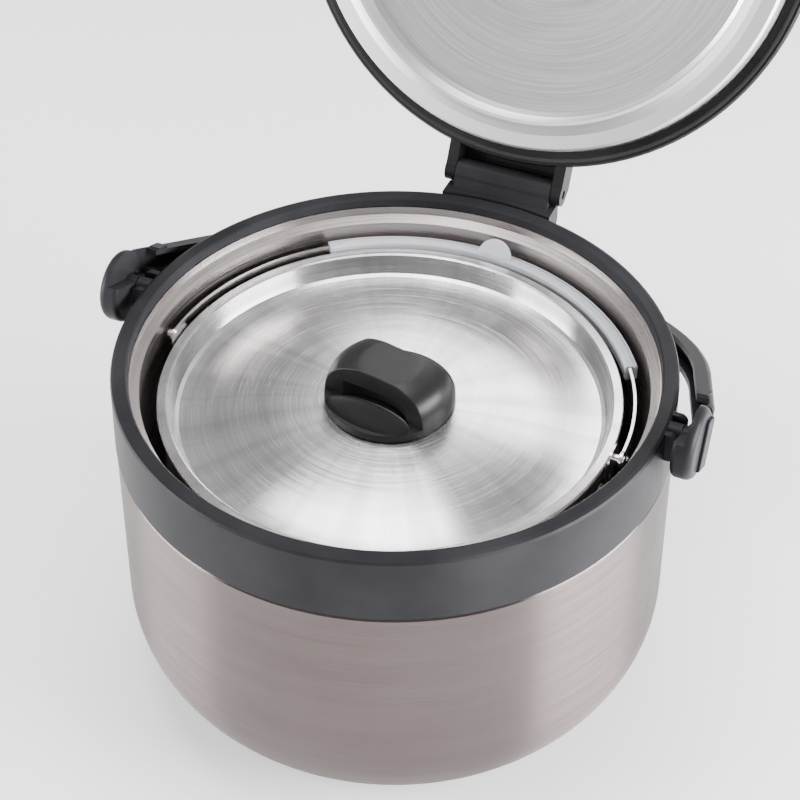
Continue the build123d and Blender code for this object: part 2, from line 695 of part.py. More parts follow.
def make_arm_flares():
    """The arms' outer walls, deepened below the slab towards the pivots."""
    high = HANDLE_LOW + HANDLE_ROUND + 1.0
    lip = 0.25  # the flare's faces stay just inside the slab's own wall
    side = [(4.0, high), (4.0, FLARE_LOW), (12.0, FLARE_LOW + 1.0), (FLARE_END, high)]
    side_outline = make_face([Polyline(*[(0, y, z) for y, z in side], close=True)])
    outer = extrude(Pos(0, 0, FLARE_LOW) * handle_outline(lip), high - FLARE_LOW)
    hollow = handle_outline(HANDLE_WALL - lip)
    inner = extrude(Pos(0, 0, FLARE_LOW - 1) * hollow, high - FLARE_LOW + 2)
    return (outer - inner) & extrude(side_outline, HANDLE_OUT_X + 1, both=True)


def make_paddle():
    """The round end of an arm: a plate above, solid to its full width below the cut."""
    paddle = rod_x(PADDLE_R, HANDLE_IN_X, HANDLE_OUT_X, PADDLE_Y, 0)
    paddle = fillet(paddle.faces().sort_by(Axis.X)[-1].edges(), 4.0)
    paddle = fillet(paddle.faces().sort_by(Axis.X)[0].edges(), 2.5)
    plate_x = HANDLE_OUT_X - PADDLE_PLATE
    reach = PADDLE_R - PADDLE_Y + 1
    open_half = block(HANDLE_IN_X - 1, plate_x, -reach, reach, PADDLE_CUT, reach)
    boss = rod_x(5.2, HANDLE_IN_X, plate_x + 1.0, 0, 0)
    return paddle - open_half + boss


def make_arm_rib():
    """A raised rib across the round end, cut flat below, and a small pad on the arm's top."""
    rib = block(HANDLE_OUT_X - 2.5, HANDLE_OUT_X + 1.6, -7.0, 5.0, -14.6, 12.6)
    rib = fillet(rib.edges().filter_by(Axis.X).group_by(Axis.Z)[-1], 3.0)
    rib = fillet(rib.faces().sort_by(Axis.X)[-1].edges(), 0.8)
    pad = block(HANDLE_OUT_X - 12.4, HANDLE_OUT_X - 6.4, 18.0, 27.0, HANDLE_HIGH - 1, HANDLE_HIGH + 0.8)
    return rib + pad


# ---- inner pot pieces, drawn about Z and then moved to the pot's centre --------------


def potted(shape):
    return Pos(POT_X, POT_Y, 0) * shape


def make_pot_body():
    inner_r = POT_R - POT_T
    corner_in = floor_corner(inner_r, POT_FLOOR + POT_T, POT_CORNER)
    corner_out = floor_corner(POT_R, POT_FLOOR, POT_CORNER + POT_T)
    upper = Polyline(
        at(inner_r, POT_FLOOR + POT_T + POT_CORNER),
        at(inner_r, BEAD_TOP - 1.0),
        at(inner_r + 1.0, BEAD_TOP),
        at(BEAD_R - 1.2, BEAD_TOP),
        at(BEAD_R, BEAD_TOP - 1.2),
        at(BEAD_R, BEAD_LOW + 1.2),
        at(BEAD_R - 1.2, BEAD_LOW),
        at(POT_R, BEAD_LOW),
        at(POT_R, POT_FLOOR + POT_T + POT_CORNER),
    )
    floor = Polyline(
        at(inner_r - POT_CORNER, POT_FLOOR),
        at(0, POT_FLOOR),
        at(0, POT_FLOOR + POT_T),
        at(inner_r - POT_CORNER, POT_FLOOR + POT_T),
    )
    return turned(corner_in, upper, corner_out, floor)


def make_pot_base_disc():
    plate = disc(BASE_DISC_R, LINER_FLOOR + POT_GAP, POT_FLOOR)
    return chamfer(plate.faces().sort_by(Axis.Z)[0].edges(), 2.0)


def make_pot_lug():
    """A bent strip: riveted to the wall, out past the bead, up to the pivot stud."""
    wall_leg = block(POT_R - 2.0, POT_R + 1.0, -11.0, 11.0, 148.0, 169.0)
    wall_leg -= disc(POT_R + 0.02, 140.0, 180.0)
    shelf = block(POT_R - 2.0, LUG_X + 1.0, -8.0, 8.0, 168.0, 169.2)
    shelf -= disc(POT_R + 0.02, 140.0, 180.0)
    ear = block(LUG_X, LUG_X + 1.0, -8.0, 8.0, 168.0, 182.4)
    ear = fillet(ear.edges().filter_by(Axis.X).group_by(Axis.Z)[-1], 6.0)
    stud = rod_x(STUD_R, LUG_X + 0.5, STUD_REACH, 0, BAIL_Z)
    rest_tab = block(LUG_X, LUG_X + 6.4, 5.2, 8.0, 170.2, 171.5)
    rivet_holes = rod_x(RIVET_R + 0.02, POT_R - 1, POT_R + 3, -RIVET_Y, RIVET_Z)
    rivet_holes += rod_x(RIVET_R + 0.02, POT_R - 1, POT_R + 3, RIVET_Y, RIVET_Z)
    return wall_leg + shelf + ear + stud + rest_tab - rivet_holes


def make_lug_rivets():
    rivets = []
    for y in (-RIVET_Y, RIVET_Y):
        shank = rod_x(RIVET_R, POT_R - 0.1, POT_R + 1.2, y, RIVET_Z)
        head = rod_x(RIVET_R + 1.3, POT_R + 1.02, POT_R + 2.2, y, RIVET_Z)
        rivets.append(shank + head)
    pair = rivets[0] + rivets[1] - disc(POT_R + 0.02, 140.0, 180.0)
    return both_sides(pair)


def make_pot_bail():
    """A half ring of flat steel strip with an eye over each pivot stud."""
    ring = Cylinder(BAIL_OUT, 2 * BAIL_HALF_H) - Cylinder(BAIL_IN, 2 * BAIL_HALF_H + 1)
    ring &= block(-200, 200, 0, 200, -20, 20)
    eye = rod_x(BAIL_HALF_H + 0.6, BAIL_IN - 0.1, BAIL_OUT, 0, 0)
    ring += both_sides(eye)
    offset = BAIL_X - POT_X
    bores = both_sides(rod_x(STUD_R + RUNNING, 110.0, 140.0, 0, 0))
    return Pos(offset, 0, BAIL_Z) * (ring - bores)


def make_bail_sleeve():
    """A silicone channel pushed over the strip, with a thumb tab that leans outwards."""
    low = -4.6
    high = 4.6
    body = Cylinder(SLEEVE_OUT, high - low) - Cylinder(SLEEVE_IN, high - low + 1)
    slot = Cylinder(BAIL_OUT + 0.02, 20) - Cylinder(BAIL_IN - 0.02, 21)
    slot = Pos(0, 0, BAIL_HALF_H + 0.05 - 10) * slot
    hollow = Cylinder(SLEEVE_OUT - 1.6, 20) - Cylinder(BAIL_OUT + 1.2, 21)
    hollow = Pos(0, 0, high - 2.4 - 10) * hollow
    span = SLEEVE_END - SLEEVE_START
    reach = 200.0
    start = math.radians(SLEEVE_START)
    middle = math.radians(SLEEVE_START + span / 2)
    end = math.radians(SLEEVE_END)
    sector = make_face(
        [
            Polyline(
                (0, 0),
                (reach * math.cos(start), reach * math.sin(start)),
                (1.5 * reach * math.cos(middle), 1.5 * reach * math.sin(middle)),
                (reach * math.cos(end), reach * math.sin(end)),
                close=True,
            )
        ]
    )
    sector = extrude(sector, 30, both=True)
    tab = Pos(0, SLEEVE_IN + 1.2, high - 0.4) * Rot(-30, 0, 0) * make_thumb_tab()
    tab = Rot(0, 0, TAB_AZIMUTH - 90) * tab
    sleeve = ((body - hollow) & sector) + tab
    return Pos(BAIL_X - POT_X, 0, BAIL_Z) * (sleeve - slot)


def make_thumb_tab():
    """A half disc standing on the X axis."""
    plate = Rot(90, 0, 0) * Cylinder(TAB_R, 2.2)
    return plate & block(-20, 20, -5, 5, 0, 20)


def make_pot_lid():
    """A spun lid: flat flange, steep well, then a low stepped crown."""
    top = [
        (LID_R, FLANGE_TOP - 0.6),
        (LID_R - 0.6, FLANGE_TOP),
        (115.6, FLANGE_TOP),
        (114.6, FLANGE_TOP - 0.6),
        (111.6, 167.4),
        (109.6, 166.4),
    ]
    crown = [(98.6, 166.9), (86.0, 169.2), (72.5, 171.2), (40.0, 172.9), (0, KNOB_Z)]
    upper = Polyline(*[at(x, z) for x, z in top])
    dome = Spline(*[at(x, z) for x, z in [top[-1]] + crown])
    under = [(x, z - LID_T) for x, z in reversed(crown)]
    axis_edge = Line(at(0, KNOB_Z), at(0, KNOB_Z - LID_T))
    lower_dome = Spline(*[at(x, z) for x, z in under + [(109.4, 165.6)]])
    lower = Polyline(
        at(109.4, 165.6),
        at(112.2, 166.6),
        at(115.2, FLANGE_TOP - 1.2),
        at(115.9, FLANGE_TOP - LID_T),
        at(LID_R, FLANGE_TOP - LID_T),
        at(LID_R, FLANGE_TOP - 0.6),
    )
    lid = turned(upper, dome, axis_edge, lower_dome, lower)
    return lid - disc(2.6, 160.0, 180.0)


def knob_dome():
    """The knob's rounded outer form."""
    low = KNOB_Z + 0.1
    top = KNOB_Z + KNOB_H
    curve = Spline(
        at(KNOB_R, low + 1.2),
        at(KNOB_R - 0.6, low + 9.9),
        at(KNOB_R - 6.0, top - 4.6),
        at(KNOB_R - 14.0, top - 0.8),
        at(0, top),
        tangents=[(0, 0, 1), (-1, 0, 0)],
    )
    return turned(Polyline(at(0, top), at(0, low), at(KNOB_R - 0.6, low), at(KNOB_R, low + 1.2)), curve)


def front_of_arc(end_x, end_y, mid_y, z0, z1):
    """Everything in front of a shallow upright arc, between two heights."""
    arc = ThreePointArc((-end_x, end_y), (0, mid_y), (end_x, end_y))
    far = 60.0
    rest = Polyline(
        (end_x, end_y), (far, end_y), (far, -far), (-far, -far), (-far, end_y), (-end_x, end_y)
    )
    return extrude(Pos(0, 0, z0) * make_face([arc, rest]), z1 - z0)


def make_lid_knob():
    """A domed knob whose grip bar is undercut for the fingers in front and behind."""
    step = KNOB_Z + KNOB_BASE_H
    face = front_of_arc(31.5, -16.4, -13.0, step, KNOB_Z + 40.0)
    undercut = front_of_arc(22.0, -16.8, -6.6, step - 1.8, step + 9.0)
    ridge = front_of_arc(22.0, -16.8, -9.4, step - 5.0, step)
    bowl = Pos(0, -21.4, step + 0.3) * scale(Sphere(1.0), by=(25.0, 9.8, 2.7))
    cut = face + (undercut - ridge) + bowl
    body = knob_dome() - cut - mirror(cut, Plane.XZ)
    lips = body.edges().filter_by(lambda edge: edge.center().Z > KNOB_Z + KNOB_H - 6.0)
    body = fillet(lips, 0.6)
    body -= disc(2.55, KNOB_Z - 1.0, KNOB_Z + 12.1)
    return Rot(0, 0, KNOB_TURN_DEG) * body


def make_knob_screw():
    shank = disc(2.5, KNOB_Z - 2.3, KNOB_Z + 11.0)
    head = disc(5.0, KNOB_Z - 5.2, KNOB_Z - 2.25)
    slot = block(-4.0, 4.0, -0.6, 0.6, KNOB_Z - 5.4, KNOB_Z - 4.0)
    cross = block(-0.6, 0.6, -4.0, 4.0, KNOB_Z - 5.4, KNOB_Z - 4.0)
    return shank + head - slot - cross


def make_knob_washer():
    return disc(9.0, KNOB_Z - 2.2, KNOB_Z - 1.2) - disc(2.6, KNOB_Z - 3.0, KNOB_Z)


os.makedirs("parts", exist_ok=True)

save("outer_shell", make_outer_shell())
save("inner_liner", make_inner_liner())
save("outer_bottom", make_outer_bottom())
save("vacuum_seal_cap", make_seal_cap())
save("base_cup", make_base_cup())
save("base_pad", make_base_pad())
save("collar_ring", make_collar_ring())
save("handle_pins", group(make_handle_pins()))
save("hinge_bracket", make_hinge_bracket())
save("hinge_screws", group(make_hinge_screws()))
save("hinge_pin", make_hinge_pin())

save("lid_rim", opened(make_lid_rim()))
save("lid_inner_plate", opened(make_lid_inner_plate()))
save("lid_gasket", opened(make_lid_gasket()))
save("lid_top_cover", opened(make_lid_top_cover()))
save("lid_insulation", opened(make_lid_insulation()))
save("latch_button", opened(make_latch_button()))
save("latch_spring", opened(make_latch_spring()))

save("carry_handle", make_carry_handle())

lug = make_pot_lug()
save("pot_body", potted(make_pot_body()))
save("pot_base_disc", potted(make_pot_base_disc()))
save("right_pot_lug", potted(lug))
save("left_pot_lug", potted(mirror(lug, Plane.YZ)))
save("lug_rivets", group(potted(make_lug_rivets())))
save("pot_bail", potted(make_pot_bail()))
save("bail_sleeve", potted(make_bail_sleeve()))
save("pot_lid", potted(make_pot_lid()))
save("lid_knob", potted(make_lid_knob()))
save("knob_screw", potted(make_knob_screw()))
save("knob_washer", potted(make_knob_washer()))
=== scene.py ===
import math

import bmesh
import bpy
from mathutils import Matrix, Vector


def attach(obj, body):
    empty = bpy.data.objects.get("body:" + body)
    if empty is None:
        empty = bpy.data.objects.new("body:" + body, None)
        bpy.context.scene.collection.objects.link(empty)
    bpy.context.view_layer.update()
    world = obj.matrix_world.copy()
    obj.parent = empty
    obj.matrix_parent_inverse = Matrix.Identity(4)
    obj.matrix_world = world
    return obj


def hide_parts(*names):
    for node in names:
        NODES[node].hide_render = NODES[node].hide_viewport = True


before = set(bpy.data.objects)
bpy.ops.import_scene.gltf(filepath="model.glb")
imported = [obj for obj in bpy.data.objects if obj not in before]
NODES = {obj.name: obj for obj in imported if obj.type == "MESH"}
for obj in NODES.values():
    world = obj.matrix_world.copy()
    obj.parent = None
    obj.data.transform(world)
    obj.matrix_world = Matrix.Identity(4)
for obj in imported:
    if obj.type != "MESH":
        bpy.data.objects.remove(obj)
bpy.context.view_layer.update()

# A vacuum thermal cooker with its lid open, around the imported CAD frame. Metres, +Z up.

UP = Vector((0.0, 0.0, 1.0))
HINGE = Vector((0.0, 0.1573, 0.2058))
LID_OPEN = math.radians(114.0)
POT_CENTRE = (-0.0022, -0.0014, 0.0)
PLATE_DISH_R = 0.1167  # edge of the brushed middle of the lid's inner plate

# ---- surface detail ---------------------------------------------------------------------

GRAIN_FINE = 900.0  # scale of the brush lines across the grain, per metre
GRAIN_BROAD = GRAIN_FINE * 0.12  # scale of the wider bands among them
GRAIN_AROUND = 1.4  # how much the brush lines change on their way around the axis
PLATE_AROUND = 1.2
BANDS_AROUND = 0.8
PAINTED_WEDGES_AROUND = 4.5  # scale of the painted reflection wedges, darker rays that run out from the axis
WALL_RUN = 1.37  # lets the grain change with height on upright walls
AXIS_GUARD = 0.0005  # keeps the coordinates steady on the axis itself
GRAIN_RELIEF = 0.00004  # heights of the bump, in metres
PLASTIC_RELIEF = 0.00006
BRUSH_TURN = 0.25  # a quarter turn: highlights spread across the brush lines

# ---- the bail's strip and its silicone grip -----------------------------------------------

BAIL_CENTRE = Vector((-0.0010, -0.0014, 0.1760))
STRIP_IN = 0.1242
STRIP_OUT = 0.1256
SLEEVE_IN = 0.1226
SLEEVE_OUT = 0.1292
SLEEVE_HALF = 0.0046
SLEEVE_SOFT = 0.0009  # width of the channel's cut corners
SLEEVE_ROOF = 0.0005  # silicone above the strip's slot
SLEEVE_START_DEG = 31.0
SLEEVE_END_DEG = 129.0
SLEEVE_STEPS = 96
SEAM_HALF = 0.0005  # a shallow groove along the sleeve's top
SEAM_FLOOR_HALF = 0.0003
SEAM_DEPTH = 0.0010
TAB_R = 0.0098
TAB_T = 0.0022
TAB_OUT = 0.0012  # from the sleeve's inner wall out to the tab
TAB_SUNK = 0.0004  # how deep the tab's foot sits in the sleeve
TAB_LEAN_DEG = -30.0
TAB_AZIMUTH = math.radians(86.0)
TAB_ROUND = 0.35  # rounding of the tab's rims, as a part of its thickness
SLEEVE_BEVEL = 0.0003

# ---- studio -------------------------------------------------------------------------------

FLOOR_HALF = 6.0
FLOOR_GLOW = 0.25
SKY_STRENGTH = 0.55
# name, place, point it faces, width and height, watts
SOFTBOXES = [
    ("left_box", (-1.25, -0.68, 0.42), (0, 0, 0.12), (0.9, 0.8), 50.0),
    ("right_box", (1.42, 0.10, 0.42), (0, 0, 0.12), (1.1, 0.8), 112.0),
    ("top_box", (-0.3, 0.3, 1.9), (0, 0, 0.1), (1.0, 1.0), 34.0),
]
CAMERA_PLACE = (0.3612, -0.8509, 0.9959)
CAMERA_TILT_DEG = 48.30  # from looking straight down
CAMERA_TURN_DEG = 22.84
CAMERA_LENS = 107.62  # millimetres, on the sensor width below
CAMERA_SENSOR = 36.0
CAMERA_REACH = 50.0


# ---- node helpers ---------------------------------------------------------------------


class Net:
    """A material's node tree with short calls for the nodes that this scene uses."""

    def __init__(self, name):
        self.mat = bpy.data.materials.new(name)
        self.mat.use_nodes = True
        self.tree = self.mat.node_tree
        self.bsdf = self.tree.nodes["Principled BSDF"]

    def node(self, kind, **values):
        n = self.tree.nodes.new(kind)
        for key, value in values.items():
            setattr(n, key, value)
        return n

    def link(self, out, socket):
        self.tree.links.new(out, socket)

    def plug(self, socket, value):
        if isinstance(value, bpy.types.NodeSocket):
            self.link(value, socket)
        else:
            socket.default_value = value

    def math(self, op, a, b=0.0):
        n = self.node("ShaderNodeMath", operation=op)
        for socket, value in zip(n.inputs, (a, b)):
            self.plug(socket, value)
        return n.outputs[0]

    def object_coords(self):
        return self.node("ShaderNodeTexCoord").outputs["Object"]

    def lid_coords(self):
        """Coordinates of the closed lid for pieces that are stored open."""
        turn = Matrix.Rotation(LID_OPEN, 3, "X")
        n = self.node("ShaderNodeMapping")
        n.inputs["Rotation"].default_value = (LID_OPEN, 0.0, 0.0)
        n.inputs["Location"].default_value = HINGE - turn @ HINGE
        self.link(self.object_coords(), n.inputs["Vector"])
        return n.outputs[0]

    def shifted(self, coords, offset):
        n = self.node("ShaderNodeVectorMath", operation="SUBTRACT")
        self.link(coords, n.inputs[0])
        n.inputs[1].default_value = offset
        return n.outputs[0]

    def split(self, coords):
        n = self.node("ShaderNodeSeparateXYZ")
        self.link(coords, n.inputs[0])
        return n.outputs

    def combine(self, x, y, z):
        n = self.node("ShaderNodeCombineXYZ")
        for socket, value in zip(n.inputs, (x, y, z)):
            self.plug(socket, value)
        return n.outputs[0]

    def radius(self, coords):
        x, y, _ = self.split(coords)
        squares = self.math("ADD", self.math("MULTIPLY", x, x), self.math("MULTIPLY", y, y))
        return self.math("SQRT", squares)

    def around(self, coords, swirl, fine):
        """Noise coordinates stretched around the Z axis, for turned and brushed metal."""
        x, y, z = self.split(coords)
        r = self.math("MAXIMUM", self.radius(coords), AXIS_GUARD)
        dx = self.math("MULTIPLY", self.math("DIVIDE", x, r), swirl)
        dy = self.math("MULTIPLY", self.math("DIVIDE", y, r), swirl)
        run = self.math("MULTIPLY", z, WALL_RUN)
        along = self.math("MULTIPLY", self.math("ADD", r, run), fine)
        return self.combine(dx, dy, along)

    def noise(self, coords, scale, detail=3.0, rough=0.55):
        n = self.node("ShaderNodeTexNoise")
        self.link(coords, n.inputs["Vector"])
        n.inputs["Scale"].default_value = scale
        n.inputs["Detail"].default_value = detail
        n.inputs["Roughness"].default_value = rough
        return n.outputs["Fac"]

    def ramp(self, fac, lo, hi, out_lo, out_hi):
        n = self.node("ShaderNodeMapRange")
        self.link(fac, n.inputs["Value"])
        for key, value in zip(("From Min", "From Max", "To Min", "To Max"), (lo, hi, out_lo, out_hi)):
            n.inputs[key].default_value = value
        return n.outputs[0]

    def mix(self, fac, a, b):
        n = self.node("ShaderNodeMix", data_type="RGBA")
        self.plug(n.inputs["Factor"], fac)
        self.plug(n.inputs[6], a if isinstance(a, bpy.types.NodeSocket) else (*a, 1.0))
        self.plug(n.inputs[7], b if isinstance(b, bpy.types.NodeSocket) else (*b, 1.0))
        return n.outputs[2]

    def bump(self, height, strength, distance, normal=None):
        n = self.node("ShaderNodeBump")
        n.inputs["Strength"].default_value = strength
        n.inputs["Distance"].default_value = distance
        self.link(height, n.inputs["Height"])
        if normal is not None:
            self.link(normal, n.inputs["Normal"])
        return n.outputs[0]

    def set(self, **values):
        for key, value in values.items():
            self.plug(self.bsdf.inputs[key.replace("_", " ")], value)

    def tangent(self):
        n = self.node("ShaderNodeTangent", direction_type="RADIAL", axis="Z")
        self.link(n.outputs[0], self.bsdf.inputs["Tangent"])


def turned_steel(
    name, color, dark, rough, aniso, centre=(0, 0, 0), lid=False, painted_wedges=0.0, relief=0.25
):
    """Steel brushed or spun around the Z axis: long fine grain, uneven roughness, handling marks, and
    optional painted reflection wedges (darker radial rays in the colour).
    """
    net = Net(name)
    coords = net.lid_coords() if lid else net.object_coords()
    if any(centre):
        coords = net.shifted(coords, centre)
    grain = net.noise(net.around(coords, GRAIN_AROUND, GRAIN_FINE), 1.0, 4.0, 0.7)
    broad = net.noise(net.around(coords, BANDS_AROUND, GRAIN_BROAD), 1.0, 2.0, 0.5)
    smudge = net.noise(coords, 14.0, 4.0, 0.6)
    tone = net.math("ADD", net.math("MULTIPLY", grain, 0.6), net.math("MULTIPLY", broad, 0.4))
    base = net.mix(net.ramp(tone, 0.35, 0.65, 0.0, 1.0), dark, color)
    # Painted reflection: darker radial wedges in the colour stand in for the dark wedges of reflected
    # light on spun steel.
    if painted_wedges:
        wedge_shade = net.noise(net.around(coords, PAINTED_WEDGES_AROUND, 0.0), 1.0, 3.0, 0.6)
        base = net.mix(net.ramp(wedge_shade, 0.42, 0.62, 0.0, painted_wedges), base, tuple(0.55 * c for c in dark))
    net.set(Base_Color=base, Metallic=1.0)
    low = net.ramp(grain, 0.3, 0.7, rough - 0.05, rough + 0.06)
    net.set(Roughness=net.math("ADD", low, net.ramp(smudge, 0.4, 0.75, 0.0, 0.05)))
    net.set(Normal=net.bump(grain, relief, GRAIN_RELIEF))
    net.bsdf.inputs["Anisotropic"].default_value = aniso
    net.bsdf.inputs["Anisotropic Rotation"].default_value = BRUSH_TURN
    if aniso:
        net.tangent()
    return net.mat


def plate_look(name):
    """The lid's inner plate: a brushed middle disc inside a bead-blasted border."""
    net = Net(name)
    coords = net.lid_coords()
    middle = net.ramp(net.radius(coords), PLATE_DISH_R - 0.0006, PLATE_DISH_R + 0.0004, 1.0, 0.0)
    border = net.math("SUBTRACT", 1.0, middle)
    grain = net.noise(net.around(coords, PLATE_AROUND, GRAIN_FINE), 1.0, 4.0, 0.7)
    blast = net.noise(coords, 2600.0, 2.0, 0.5)
    cloud = net.noise(coords, 18.0, 3.0, 0.55)
    relief = net.math("ADD", net.math("MULTIPLY", grain, middle), net.math("MULTIPLY", blast, border))
    brushed = net.mix(net.ramp(grain, 0.35, 0.65, 0.0, 1.0), (0.62, 0.61, 0.61), (0.86, 0.85, 0.85))
    blasted = net.mix(net.ramp(cloud, 0.35, 0.65, 0.0, 1.0), (0.66, 0.64, 0.65), (0.72, 0.70, 0.71))
    net.set(Base_Color=net.mix(middle, blasted, brushed), Metallic=1.0)
    net.set(Roughness=net.ramp(middle, 0.0, 1.0, 0.46, 0.30), Normal=net.bump(relief, 0.3, 0.00005))
    return net.mat


def moulded(name, color, rough, grain=0.0, specular=0.5, scale=1800.0):
    """Moulded plastic: fine spark-erosion texture, faint flow marks and dust."""
    net = Net(name)
    coords = net.object_coords()
    fine = net.noise(coords, scale, 2.0, 0.5)
    flow = net.noise(coords, 22.0, 3.0, 0.5)
    light = tuple(min(1.0, c * 1.35 + 0.004) for c in color)
    net.set(Base_Color=net.mix(net.ramp(flow, 0.35, 0.7, 0.0, 1.0), color, light))
    shine = net.ramp(fine, 0.3, 0.7, rough - 0.05, rough + 0.05)
    net.set(Roughness=net.math("ADD", shine, net.ramp(flow, 0.4, 0.7, 0.0, 0.05)))
    net.bsdf.inputs["Specular IOR Level"].default_value = specular
    if grain:
        net.set(Normal=net.bump(fine, grain, PLASTIC_RELIEF))
    return net.mat


def bright_steel(name):
    """Polished steel of pins, screws, lugs and the bail, with faint wear."""
    net = Net(name)
    coords = net.object_coords()
    fine = net.noise(coords, 900.0, 3.0, 0.6)
    wear = net.noise(coords, 60.0, 4.0, 0.6)
    tone = net.ramp(wear, 0.4, 0.7, 0.0, 1.0)
    net.set(Base_Color=net.mix(tone, (0.62, 0.61, 0.60), (0.78, 0.77, 0.76)), Metallic=1.0)
    net.set(Roughness=net.ramp(fine, 0.3, 0.7, 0.16, 0.27))
    net.set(Normal=net.bump(fine, 0.12, GRAIN_RELIEF))
    return net.mat


def silicone_mat(name):
    """Milky silicone that lets a little light through."""
    net = Net(name)
    coords = net.object_coords()
    cloud = net.noise(coords, 40.0, 3.0, 0.6)
    fine = net.noise(coords, 1500.0, 2.0, 0.5)
    tone = net.ramp(cloud, 0.35, 0.7, 0.0, 1.0)
    net.set(Base_Color=net.mix(tone, (0.66, 0.67, 0.71), (0.76, 0.77, 0.82)))
    net.set(Roughness=net.ramp(fine, 0.3, 0.7, 0.38, 0.5), Normal=net.bump(fine, 0.1, 0.00005))
    net.bsdf.inputs["Transmission Weight"].default_value = 0.35
    net.bsdf.inputs["Subsurface Weight"].default_value = 0.3
    net.bsdf.inputs["Subsurface Scale"].default_value = 0.004
    net.bsdf.inputs["IOR"].default_value = 1.41
    return net.mat


def foam_mat(name):
    """Open-cell foam, out of sight inside the lid."""
    net = Net(name)
    coords = net.object_coords()
    cells = net.node("ShaderNodeTexVoronoi")
    net.link(coords, cells.inputs["Vector"])
    cells.inputs["Scale"].default_value = 700.0
    tone = cells.outputs["Distance"]
    net.set(Base_Color=net.mix(tone, (0.75, 0.72, 0.6), (0.88, 0.86, 0.76)), Roughness=0.9)
    net.set(Normal=net.bump(tone, 0.5, 0.0005))
    return net.mat


BODY_STEEL = turned_steel("body_steel", (0.142, 0.117, 0.115), (0.124, 0.102, 0.100), 0.31, 0.96)
LINER_STEEL = turned_steel(
    "liner_steel", (0.50, 0.458, 0.445), (0.46, 0.42, 0.408), 0.27, 0.6, relief=0.06
)
# The pot's steel carries painted reflection wedges: darker radial rays in its colour.
POT_STEEL = turned_steel(
    "pot_steel", (0.78, 0.77, 0.775), (0.54, 0.53, 0.535), 0.22, 0.85, centre=POT_CENTRE, painted_wedges=0.4
)
HIDDEN_STEEL = turned_steel("hidden_steel", (0.55, 0.55, 0.56), (0.45, 0.45, 0.46), 0.4, 0.0)
PLATE_STEEL = plate_look("plate_steel")
COVER_STEEL = turned_steel("cover_steel", (0.50, 0.44, 0.435), (0.45, 0.40, 0.395), 0.32, 0.0, lid=True)
BRIGHT = bright_steel("bright_steel")
GREY = moulded("grey_plastic", (0.014, 0.014, 0.016), 0.38, 0.25, 0.08)
BLACK = moulded("black_plastic", (0.003, 0.003, 0.0035), 0.40, 0.15, 0.20)
KNOB = moulded("knob_plastic", (0.006, 0.006, 0.0066), 0.40, 0.2, 0.30)
RUBBER = moulded("black_rubber", (0.012, 0.012, 0.012), 0.75, 0.4, 0.3)
SILICONE = silicone_mat("silicone")
FOAM = foam_mat("foam")

LOOKS = {
    "outer_shell": BODY_STEEL,
    "inner_liner": LINER_STEEL,
    "outer_bottom": HIDDEN_STEEL,
    "vacuum_seal_cap": HIDDEN_STEEL,
    "base_cup": BLACK,
    "base_pad": RUBBER,
    "collar_ring": GREY,
    "handle_pins": BRIGHT,
    "hinge_bracket": GREY,
    "hinge_screws": BRIGHT,
    "hinge_pin": BRIGHT,
    "lid_rim": BLACK,
    "lid_inner_plate": PLATE_STEEL,
    "lid_gasket": RUBBER,
    "lid_top_cover": COVER_STEEL,
    "lid_insulation": FOAM,
    "latch_button": GREY,
    "latch_spring": BRIGHT,
    "carry_handle": GREY,
    "pot_body": POT_STEEL,
    "pot_base_disc": HIDDEN_STEEL,
    "right_pot_lug": BRIGHT,
    "left_pot_lug": BRIGHT,
    "lug_rivets": BRIGHT,
    "pot_bail": BRIGHT,
    "bail_sleeve": SILICONE,
    "pot_lid": POT_STEEL,
    "lid_knob": KNOB,
    "knob_screw": BRIGHT,
    "knob_washer": BRIGHT,
}
for node_name, look in LOOKS.items():
    mesh = NODES[node_name].data
    mesh.materials.clear()
    mesh.materials.append(look)


# ---- detailed pieces ------------------------------------------------------------------

SHARP_DEG = 35.0

def add_piece(name, bm, look):
    """Turn a bmesh into an object with smooth shading, except at its sharp edges."""
    bmesh.ops.recalc_face_normals(bm, faces=bm.faces)
    for face in bm.faces:
        face.smooth = True
    for edge in bm.edges:
        sharp = len(edge.link_faces) == 2 and edge.calc_face_angle() > math.radians(SHARP_DEG)
        edge.smooth = not sharp
    mesh = bpy.data.meshes.new(name)
    bm.to_mesh(mesh)
    bm.free()
    mesh.materials.append(look)
    piece = bpy.data.objects.new(name, mesh)
    bpy.context.scene.collection.objects.link(piece)
    return piece


def round_edges(piece, width, segments, angle_deg):
    """Bevel the edges that are sharper than an angle."""
    mod = piece.modifiers.new("rounded", "BEVEL")
    mod.width = width
    mod.segments = segments
    mod.limit_method = "ANGLE"
    mod.angle_limit = math.radians(angle_deg)
    mod.harden_normals = False


def swept_ring(bm, profile, centre, start_deg, end_deg, steps):
    """Sweep an (r, z) profile around a vertical axis and close both ends."""
    rings = []
    for step in range(steps + 1):
        angle = math.radians(start_deg + (end_deg - start_deg) * step / steps)
        across = Vector((math.cos(angle), math.sin(angle), 0.0))
        rings.append([bm.verts.new(centre + r * across + z * UP) for r, z in profile])
    count = len(profile)
    for ring, following in zip(rings, rings[1:]):
        for k in range(count):
            m = (k + 1) % count
            bm.faces.new((ring[k], ring[m], following[m], following[k]))
    bm.faces.new(rings[0])
    bm.faces.new(list(reversed(rings[-1])))


